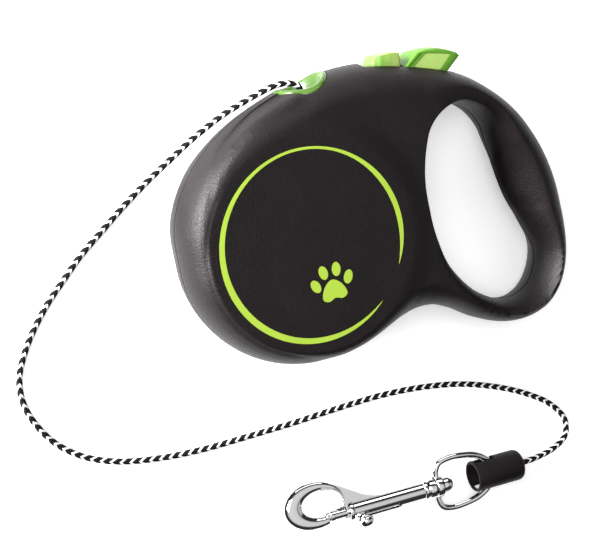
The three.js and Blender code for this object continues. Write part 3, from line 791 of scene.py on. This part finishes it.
def all_materials():
    grained = {
        "shell_plastic": ((0.003, 0.0018, 0.002), (0.0065, 0.004, 0.0045), 0.46, 0.22, 1.0),
        "inner_plastic": ((0.03, 0.03, 0.032), (0.045, 0.045, 0.048), 0.4),
        "cuff_rubber": ((0.004, 0.003, 0.0033), (0.008, 0.006, 0.0065), 0.5, 0.1, 0.35, 2600.0),
    }
    polished = {
        "button_green": ((0.066, 0.18, 0.014), (0.076, 0.2, 0.017), 0.38, 0.12, 0.22),
        # painted highlight: the pale green of the brake's side panels
        "button_painted_light": ((0.24, 0.36, 0.085), (0.26, 0.385, 0.095), 0.28),
        "outlet_green": ((0.033, 0.078, 0.008), (0.04, 0.09, 0.01), 0.14, 0.12, 0.4),
        "print_green": ((0.25, 0.37, 0.03), (0.27, 0.4, 0.035), 0.4, 0.05),
    }
    made = {name: grained_plastic(name, *look) for name, look in grained.items()}
    made.update({name: smooth_plastic(name, *look) for name, look in polished.items()})
    made["switch_green"] = switch_plastic()
    made["steel"] = plated("steel", (0.52, 0.52, 0.54), 0.25, 0.15)
    made["chrome"] = plated("chrome", (0.76, 0.76, 0.77), 0.03)
    made["cord_braid"] = braid_material()
    return made


MATERIALS = all_materials()


def paint(piece, material):
    piece.data.materials.clear()
    piece.data.materials.append(MATERIALS[material])


def dress(piece, body, material):
    """The piece's material and body."""
    paint(piece, material)
    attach(piece, body)


# ---------- cord outlet ----------
OUTLET = np.array((0.4, 56.4, MID))
OUTLET_TURN = math.radians(21.4)
OUTLET_SIDES = 72
OUTLET_CLEAR = 0.22
OUTLET_CUT = (-7.5, 6.0)
FLANGE_LONG = 10.0
FLANGE_WIDE = 11.2
FULL_HALF = FACE * 1.0142  # half the thickness of the ellipse that the spine's edge is cut from
RIM_BEND = 130  # how gently the spine's edge bends away along the rim


def on_outlet(t, s, lift):
    """A point t along the rim, s across the case and lift out of it, from the outlet's middle."""
    along = np.array((math.cos(OUTLET_TURN), math.sin(OUTLET_TURN), 0))
    out = np.array((-math.sin(OUTLET_TURN), math.cos(OUTLET_TURN), 0))
    t, s, lift = (np.atleast_1d(np.asarray(v, float))[:, None] for v in (t, s, lift))
    return OUTLET + t * along + lift * out + s * np.array((0, 0, 1.0))


def rim_bow(t, s):
    """How far the case's rim falls away from the outlet's middle."""
    across = EDGE_SHARE * SPINE_ROUND * (1 - np.sqrt(1 - (s / FULL_HALF) ** 2))
    return -across - t ** 2 / RIM_BEND


def outlet_loop(scale, depth, bow):
    """A ring of the outlet: its share of the flange's size, its depth and its share of the rim's bow."""
    t, s = oval(0, 0, FLANGE_LONG * scale, FLANGE_WIDE * scale, OUTLET_SIDES).T
    return on_outlet(t, s, rim_bow(t, s) * bow + depth)


def outlet_guide():
    profile = [(1.0, -3.2, 1), (1.0, -0.15, 1), (0.985, 0.14, 1), (0.96, 0.34, 1), (0.92, 0.45, 1),
               (0.88, 0.4, 1), (0.84, 0.15, 0.99), (0.8, -0.3, 0.96), (0.76, -1.0, 0.9), (0.72, -2.0, 0.8),
               (0.67, -3.2, 0.6), (0.6, -4.6, 0.35), (0.52, -6.0, 0.1), (0.46, -7.6, 0), (0.45, -9.0, 0),
               (0.6, -9.0, 0), (0.72, -6.4, 0.2), (0.84, -4.4, 0.7)]
    piece = add_mesh("outlet_eyelet", *loft([outlet_loop(*row) for row in profile]), sharp=50)
    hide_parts("outlet_guide")
    dress(piece, "root", "outlet_green")


def outlet_cutter():
    scale = 1 + OUTLET_CLEAR / FLANGE_WIDE
    return cutter(capped([outlet_loop(scale, depth, 0) for depth in OUTLET_CUT]))


# ---------- case ----------
BUTTON_CLEAR = 0.3
BRAKE_OPENING = [(38.5, 50.5), (58.6, 50.5), (58.6, 57.8), (59.9, 60.2), (59.9, 72), (38.5, 72)]
LOCK_OPENING = [(22.8, 60.4), (38.4, 60.4), (38.4, 72), (22.8, 72)]
STEM_OPENING = [(26.7, 52), (36, 52), (36, 70), (26.7, 70)]
STEM_OPENING_HALF = 3.5
SCREWS = [f"case_screw_{i}" for i in (1, 2, 3, 4)]
SCREW_HEAD = 1.7  # thickness of its head
SCREW_CLEAR = 0.3
SCREW_RECESS_R = 2.9


def button_cutters():
    """The openings in the spine for the brake, the lock and the lock's stem."""
    low, high = ((v / MM).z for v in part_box("brake_button"))
    low, high = low - BUTTON_CLEAR, high + BUTTON_CLEAR
    return [cutter(prism(BRAKE_OPENING, low, high)), cutter(prism(LOCK_OPENING, low, high)),
            cutter(prism(STEM_OPENING, MID - STEM_OPENING_HALF, MID + STEM_OPENING_HALF))]


def screw_cutter(name):
    """The recess round a screw's head, open to the back."""
    low, high = (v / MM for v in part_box(name))
    middle = (low + high) / 2
    depths = (-1, low.z + SCREW_HEAD + SCREW_CLEAR)
    return cutter(capped([circle(SCREW_RECESS_R, z, 40) + (middle.x, middle.y, 0) for z in depths]))


def case_half(name, side, drum_rim):
    """The front half (side 1) or the back half (side -1) of the case."""
    points, faces = half_shell(drum_rim)
    piece = add_mesh(name, points * (1, 1, side) + (0, 0, MID), faces)
    cut(piece, outlet_cutter(), *button_cutters())
    if side < 0:
        cut(piece, *(screw_cutter(screw) for screw in SCREWS))
    shade(piece, 38)
    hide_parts("case_front" if side > 0 else "case_back")
    dress(piece, "root", "shell_plastic")


# ---------- print on the front disc ----------
RING_R = 33.7
# The ring's width by direction (degrees): it runs out at both ends.
RING_AT = [-14, -4, 10, 25, 42, 60, 78, 92, 108, 125, 145, 165, 185, 210, 238, 262, 282, 300, 313, 321.5]
RING_WIDTH = [0.1, 1.1, 1.8, 1.95, 1.9, 1.4, 1.0, 0.9, 0.95, 1.1, 1.4, 1.75, 2.0, 2.3, 2.3, 2.1, 1.8, 1.3,
              0.7, 0.1]
PRINT_LIFT = 0.04
PRINT_DEPTH = 0.1
PAW_AT = (7.5, -15.5)
PAW_TURN = math.radians(14)
PAW_PAD = [(0, 3.1), (2.4, 1.9), (4.3, -0.9), (4.6, -3.3), (2.6, -4.3), (0, -3.5), (-2.6, -4.3),
           (-4.6, -3.3), (-4.3, -0.9), (-2.4, 1.9)]
PAW_TOES = [(-6.3, 2.4, 24), (-2.5, 6.3, 8), (2.5, 6.3, -8), (6.3, 2.4, -24)]  # x, y, lean in degrees
TOE_HALF = (1.65, 2.5)


def slab(name, loop):
    """A thin printed area lying on the front disc."""
    piece = add_mesh(name, *prism(loop, TOP - PRINT_DEPTH, TOP + PRINT_LIFT), sharp=40)
    dress(piece, "root", "print_green")


def spun(points, angle):
    """Points of the plan, turned anticlockwise about 0, 0."""
    return points @ np.array(((math.cos(angle), math.sin(angle)), (-math.sin(angle), math.cos(angle))))


def add_print():
    degrees = np.linspace(RING_AT[0], RING_AT[-1], 200)
    half = (np.interp(degrees, RING_AT, RING_WIDTH) / 2)[:, None]
    around = np.stack([np.cos(np.radians(degrees)), np.sin(np.radians(degrees))], 1)
    slab("printed_ring", np.concatenate([around * (RING_R + half), (around * (RING_R - half))[::-1]]))
    slab("paw_pad", spun(catmull(PAW_PAD, True, 8), PAW_TURN) + PAW_AT)
    for i, (x, y, lean) in enumerate(PAW_TOES):
        toe = spun(oval(0, 0, *TOE_HALF, 40), math.radians(lean)) + (x, y)
        slab(f"paw_toe_{i + 1}", spun(toe, PAW_TURN) + PAW_AT)


# ---------- thumb buttons ----------
BUTTON_HALF = 6.3
# Side views in x and y, but LOCK_PLAN is seen along Y, in x and in z from the parting plane.
BRAKE_SIDE = [(38.9, 55.8), (36.9, 55.8), (36.9, 54.4), (59.6, 54.4), (59.6, 55.6), (56.2, 55.6),
              (56.2, 59.3), (60.9, 65.3), (59.6, 66.4), (56, 67.4), (51.5, 67.9), (47, 67.4), (43.8, 66.4),
              (38.9, 60.6)]
# The brake's side panels are coloured pale green: a painted highlight.
BRAKE_PANEL = [(42, 60.7), (53.2, 59.5), (57.6, 65.6), (47, 65.9)]
BRAKE_STRIP = [(40.3, 60.9), (41.4, 60.8), (46.3, 65.9), (45.1, 65.8)]
PANEL_ROUND = 1.3
PANEL_POCKET = 0.55
PANEL_GAP = 0.14  # between the panel and its pocket's edge
PANEL_BACK, PANEL_FACE = 0.56, 0.12  # depths of its two faces under the button's side
PANEL_BEVEL = 0.12
STRIP_ROUND = 0.3
STRIP_DEPTH = 0.25
LOCK_SIDE = [(26.1, 60.7), (37.4, 60.7), (36.9, 66.3), (33.4, 66.1), (28.6, 64.6)]
LOCK_PLAN = [(38, -6.3), (38, 6.3), (33, 6.3), (29.7, 5.8), (27.5, 4.7), (26.4, 2.8), (26.1, 0), (26.4, -2.8),
             (27.5, -4.7), (29.7, -5.8), (33, -6.3)]
LOCK_STEM = [(30.2, 61.5), (30.2, 57), (28.9, 57), (28.9, 55.8), (36.4, 55.8), (36.4, 57), (35.6, 57),
             (35.6, 61.5)]
LOCK_STEM_HALF = 3


def crowned(name, outline, edge, crown, base):
    """A button with rounded edges about the parting plane, whose top over `base` is arched crosswise."""
    ends = [(BUTTON_HALF, edge), (BUTTON_HALF - 0.3 * edge, 0.3 * edge), (BUTTON_HALF - edge, 0)]
    flat = np.linspace(-BUTTON_HALF + edge, BUTTON_HALF - edge, 9)[1:-1]
    stations = [(-h, e) for h, e in ends] + [(h, 0) for h in flat] + ends[::-1]
    loops = []
    for z, by in stations:
        loop = inset(outline, by)
        above = np.maximum(loop[:, 1] - base, 0)
        sink = crown * (abs(z) / BUTTON_HALF) ** 2 * above / above.max()
        loops.append(np.column_stack([loop[:, 0], loop[:, 1] - sink, np.full(len(loop), MID + z)]))
    return add_mesh(name, *capped(loops), sharp=40)


def recess(outline, side, depth):
    """A cutter for a shallow pocket in the button's side face."""
    low, high = sorted((side * (BUTTON_HALF - depth), side * (BUTTON_HALF + 1)))
    return cutter(prism(outline, MID + low, MID + high))


def painted_light_panel(name, side):
    """The paler panel in one side of the brake, bevelled round its outer face; its pale green is a painted
    highlight.
    """
    low, high = sorted((side * (BUTTON_HALF - PANEL_BACK), side * (BUTTON_HALF - PANEL_FACE)))
    at_low, at_high = (0, PANEL_BEVEL) if side > 0 else (PANEL_BEVEL, 0)
    levels = [(low, at_low), (low + PANEL_BEVEL, 0), (high - PANEL_BEVEL, 0), (high, at_high)]
    outline = rounded(BRAKE_PANEL, PANEL_ROUND)
    panel = add_mesh(name, *layered(outline, [(MID + z, PANEL_GAP + by) for z, by in levels]), sharp=8)
    dress(panel, "brake", "button_painted_light")


def brake_button():
    piece = crowned("brake_trigger", rounded(BRAKE_SIDE, 0.55), 0.45, 0.65, 60)
    for side, name in ((-1, "brake_painted_light_back"), (1, "brake_painted_light_front")):
        cut(piece, recess(rounded(BRAKE_PANEL, PANEL_ROUND), side, PANEL_POCKET),
            recess(rounded(BRAKE_STRIP, STRIP_ROUND), side, STRIP_DEPTH))
        painted_light_panel(name, side)
    shade(piece, 38)
    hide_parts("brake_button")
    dress(piece, "brake", "button_green")


def lock_slider():
    piece = crowned("lock_switch", rounded(LOCK_SIDE, 0.5), 0.4, 0.35, 61)
    boolean(piece, "INTERSECT", cutter(prism_y(rounded(LOCK_PLAN, 0.6) + (0, MID), 59, 70)))
    bevel(piece, 0.35, 3, 28)
    boolean(piece, "UNION", cutter(prism(LOCK_STEM, MID - LOCK_STEM_HALF, MID + LOCK_STEM_HALF)))
    shade(piece, 38)
    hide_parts("lock_slider")
    dress(piece, "lock", "switch_green")


# ---------- cuff, swivel and snap, about the hook's own axes ----------
HOOK_AT = (68.5, -97.7, 5.4)
HOOK_HEADING = math.radians(189)
HOOK_ROLL = math.radians(9)
CUFF_R = 6.0
CUFF_BORE = 4.9
CUFF_MOUTH = -9.0
CUFF_END = -29.6
CUFF_LIFT = 0.7
CUFF_SLOT = [(-18.7, -2.6), (-10, -2.6), (-10, 2.6), (-18.7, 2.6)]
CORD_HOLE_R = 1.75
RING_WIRE_R = 1.4
BOLT_CLEAR = 2.3
RIVET_CLEAR = 2.1
EYE_RIM = (57, -5.7, 12.1, 8.9)
EYE_HOLE = (53.8, -5.7, 7.9, 4.8)
KNOB_SLOT = [(23, -1.5), (40.6, -1.5), (40.6, 1.5), (23, 1.5)]
KNOB_AT = 38.8
HOOK_TURN = Matrix.Translation(HOOK_AT) @ Matrix.Rotation(HOOK_HEADING, 4, "Z")
SNAP_TURN = HOOK_TURN @ Matrix.Rotation(HOOK_ROLL, 4, "X")
KNOB_TURN = Matrix.Rotation(math.radians(35), 4, "X")


def placed(piece, turn):
    """Moves a piece made about the hook's axes, in millimetres, to its place."""
    piece.data.transform(Matrix.Scale(MM, 4) @ turn @ Matrix.Scale(1 / MM, 4))
    piece.data.update()
    return piece


def along_x(profile, count=64, lift=0.0):
    """Loops about the X axis from [radius, x] points."""
    return [loop[:, [2, 0, 1]] + (0, 0, lift) for loop in turned(profile, count)]


def rod(name, profile):
    """A turned piece about the X axis, closed at both ends."""
    return add_mesh(name, *capped(along_x(profile)), sharp=35)


def cord_cuff():
    back = [(CORD_HOLE_R, 0.3), (1.95, 0.05), (2.6, 0), (4.1, 0), (4.9, 0.22), (5.5, 0.7), (5.87, 1.4),
            (CUFF_R, 2.3)]
    mouth = [(CUFF_R, -0.45), (CUFF_R - 0.12, -0.12), (CUFF_R - 0.4, 0), (CUFF_BORE + 0.25, 0),
             (CUFF_BORE + 0.05, -0.12), (CUFF_BORE, -0.4)]
    bottom = [(CUFF_BORE, 2.6), (CORD_HOLE_R, 2.6)]
    profile = [(r, start + x) for start, part in ((CUFF_END, back), (CUFF_MOUTH, mouth), (CUFF_END, bottom))
               for r, x in part]
    piece = add_mesh("rubber_cuff", *loft(along_x(profile, 80, CUFF_LIFT)), sharp=40)
    for near, far in ((-8, -3.4), (3.4, 8)):
        cut(piece, cutter(prism_y(rounded(CUFF_SLOT, 1.2), near, far)))
    shade(piece, 40)
    placed(piece, HOOK_TURN)
    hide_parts("cord_cuff")
    dress(piece, "root", "cuff_rubber")


def swivel_ring():
    half = [(6.2, 1.5), (6.4, 5.4), (5, 8.5), (1.4, 9.8), (-5.6, 9.6), (-11.6, 8.1), (-16.2, 4.7)]
    points = [(x, y, 0) for x, y in half] + [(-18.2, 0, 0)] + [(x, -y, 0) for x, y in reversed(half)]
    line = evenly(catmull(points, False), 150)
    piece = add_mesh("swivel_bow", *capped(ring_tube(line, np.full(len(line), RING_WIRE_R), 20)), sharp=50)
    hub = [(3.9, 4.75), (4.35, 4.95), (4.4, 5.35), (4.4, 7.1), (4.2, 7.5), (3.9, 7.65)]
    boolean(piece, "UNION", rod("cutter", hub))
    cut(piece, rod("cutter", [(RIVET_CLEAR, 3), (RIVET_CLEAR, 9)]))
    shade(piece, 40)
    placed(piece, HOOK_TURN)
    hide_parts("swivel_ring")
    dress(piece, "ring", "chrome")


def swivel_rivet():
    profile = [(0, -0.1), (1.2, 0.0), (2.1, 0.35), (2.75, 0.95), (3.1, 1.7), (3.2, 2.5), (3.2, 3.5),
               (3.05, 4.1), (2.7, 4.4), (1.8, 4.4), (1.8, 9.6), (0, 9.6)]
    piece = placed(rod("rivet", profile), SNAP_TURN)
    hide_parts("swivel_rivet")
    dress(piece, "snap", "chrome")


def snap_eye():
    """The eye: a flat face between broad rounded flanks, closed round its section."""
    # Each point of the section: its share of the way from the eye's rim to its hole, and its height.
    section = [(0.02, -1.4), (0.0, -0.6), (0.0, 0.6), (0.02, 1.4), (0.11, 1.9), (0.25, 2.25), (0.42, 2.4),
               (0.64, 2.4), (0.8, 2.15), (0.94, 1.55), (1.0, 0.8), (1.0, -0.8), (0.94, -1.55), (0.8, -2.15),
               (0.64, -2.4), (0.42, -2.4), (0.25, -2.25), (0.11, -1.9)]
    rim, hole = oval(*EYE_RIM), oval(*EYE_HOLE)
    loops = [np.column_stack([rim * (1 - t) + hole * t, np.full(len(rim), z)]) for t, z in section]
    return add_mesh("snap_body", *loft(loops))


def snap_web():
    """The web between the barrel and the eye."""
    under = catmull([(28.5, -3.1), (33, -3.9), (38, -5.9), (43, -9), (48, -11.9), (52.5, -13.4)], False, 6)
    outline = np.concatenate([under, [(54, -11), (48, -1.5), (46, 2.4), (38, 2.4), (28.5, -1.5)]])
    levels = [(-2.2, 0.35), (-1.9, 0.08), (-1.6, 0), (1.6, 0), (1.9, 0.08), (2.2, 0.35)]
    web = cutter(layered(outline, levels))
    cut(web, cutter(prism(oval(*EYE_HOLE), -9, 9)))
    return web


def hook_body():
    piece = snap_eye()
    boolean(piece, "UNION", snap_web())
    barrel = [(2.4, 8.0), (3.9, 8.0), (4.25, 8.35), (4.25, 10.3), (4.1, 10.6), (3.78, 10.7), (3.7, 10.9),
              (3.78, 11.15), (4.05, 11.25), (4.15, 11.5), (4.15, 12.4), (4.0, 12.7), (3.75, 12.85),
              (3.75, 42.3), (3.95, 42.5), (4.05, 42.8), (4.05, 43.8), (3.85, 44.25), (3.4, 44.4), (1.0, 44.4)]
    boolean(piece, "UNION", rod("cutter", barrel))
    bore = rod("cutter", [(BOLT_CLEAR, 11.5), (BOLT_CLEAR, 53.8)])
    seat = rod("cutter", [(RIVET_CLEAR, 7), (RIVET_CLEAR, 10)])
    gate = cutter(prism([(45.2, -BOLT_CLEAR), (52.6, -BOLT_CLEAR), (52.6, 8), (45.2, 8)], -6, 6))
    slot = cutter(prism_y(rounded(KNOB_SLOT, 1.4), 0, 8))
    slot.data.transform(KNOB_TURN)
    cut(piece, bore, seat, gate, slot)
    shade(piece, 33)
    placed(piece, SNAP_TURN)
    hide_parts("hook_body")
    dress(piece, "snap", "chrome")


def snap_bolt():
    profile = [(0, 22.2), (1.7, 22.2), (2, 22.5), (2, 49.8), (2.2, 49.95), (2.22, 50.2), (2.22, 51.3),
               (2.2, 51.55), (1.95, 51.7), (1.9, 52.0), (1.9, 52.9), (1.75, 53.25), (1.4, 53.45), (0, 53.5)]
    piece = placed(rod("bolt", profile), SNAP_TURN)
    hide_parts("snap_bolt")
    dress(piece, "bolt", "chrome")


def thumb_knob():
    profile = [(0, 2.3), (1.15, 2.3), (1.15, 3.95), (1.5, 4.05), (2.2, 4.25), (2.75, 4.7), (3.05, 5.4),
               (3.1, 6.1), (2.9, 6.85), (2.45, 7.5), (1.8, 8.0), (0.9, 8.25), (0, 8.3)]
    loops = [loop[:, [0, 2, 1]] + (KNOB_AT, 0, 0) for loop in turned(profile, 48)]
    piece = placed(add_mesh("knob", *capped(loops), sharp=50), SNAP_TURN @ KNOB_TURN)
    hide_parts("thumb_knob")
    dress(piece, "bolt", "chrome")


# ---------- lights and floor ----------
def add_area(name, where, target, size, power):
    """A rectangular softbox of that many watts, aimed at the target."""
    data = bpy.data.lights.new(name, "AREA")
    data.shape = "RECTANGLE"
    data.size, data.size_y = size[0] * MM, size[1] * MM
    data.energy = power
    light = bpy.data.objects.new(name, data)
    where, target = Vector(where) * MM, Vector(target) * MM
    light.location = where
    light.rotation_euler = (target - where).to_track_quat("-Z", "Y").to_euler()
    bpy.context.scene.collection.objects.link(light)


def add_stage():
    work = bmesh.new()
    bmesh.ops.create_grid(work, x_segments=1, y_segments=1, size=3.0)
    mesh = bpy.data.meshes.new("floor")
    work.to_mesh(mesh)
    work.free()
    floor = bpy.data.objects.new("floor", mesh)
    floor.data.materials.append(floor_material())
    bpy.context.scene.collection.objects.link(floor)

    world = bpy.data.worlds.new("studio")
    world.use_nodes = True
    tree = world.node_tree
    background = tree.nodes["Background"]
    where = node(tree, "ShaderNodeTexCoord").outputs["Generated"]
    height = node(tree, "ShaderNodeSeparateXYZ", {"Vector": where}).outputs["Z"]
    sky = ramp(tree, height, (0.0, (0.04,)), (0.8, (0.04,)), (0.89, (0.75,)), (1.0, (0.9,)))
    feed(tree, background, {"Color": sky, "Strength": 1.0})
    bpy.context.scene.world = world

    add_area("left_softbox", (-740, 200, 170), (-20, 10, 12), (800, 210), 46)
    add_area("top_softbox", (60, 720, 420), (20, 30, 15), (700, 300), 2.2)
    add_area("right_softbox", (760, -80, 420), (60, 0, 15), (500, 700), 0.6)
    add_area("camera_softbox", (-420, 160, 980), (20, 0, 0), (500, 500), 6)
    view = bpy.context.scene.view_settings
    view.view_transform = "Standard"
    view.look = "None"
    view.exposure = 0.0


# ---------- the whole leash ----------
CARRIED = {
    "steel": ["spool_axle", *SCREWS, "power_spring", "brake_return_spring", "bolt_spring"],
    "inner_plastic": ["spool", "wound_cord", "spring_cover", "brake_pawl"],
    "cuff_rubber": ["cord_end_loop"],
}

add_camera()
cord, cord_line = add_cord()
case_half("front_shell", 1, FRONT_RIM)
case_half("back_shell", -1, BACK_RIM)
outlet_guide()
add_print()
brake_button()
lock_slider()
cord_cuff()
swivel_ring()
swivel_rivet()
hook_body()
snap_bolt()
thumb_knob()
for material, names in CARRIED.items():
    for name in names:
        paint(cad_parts[name], material)
add_stage()
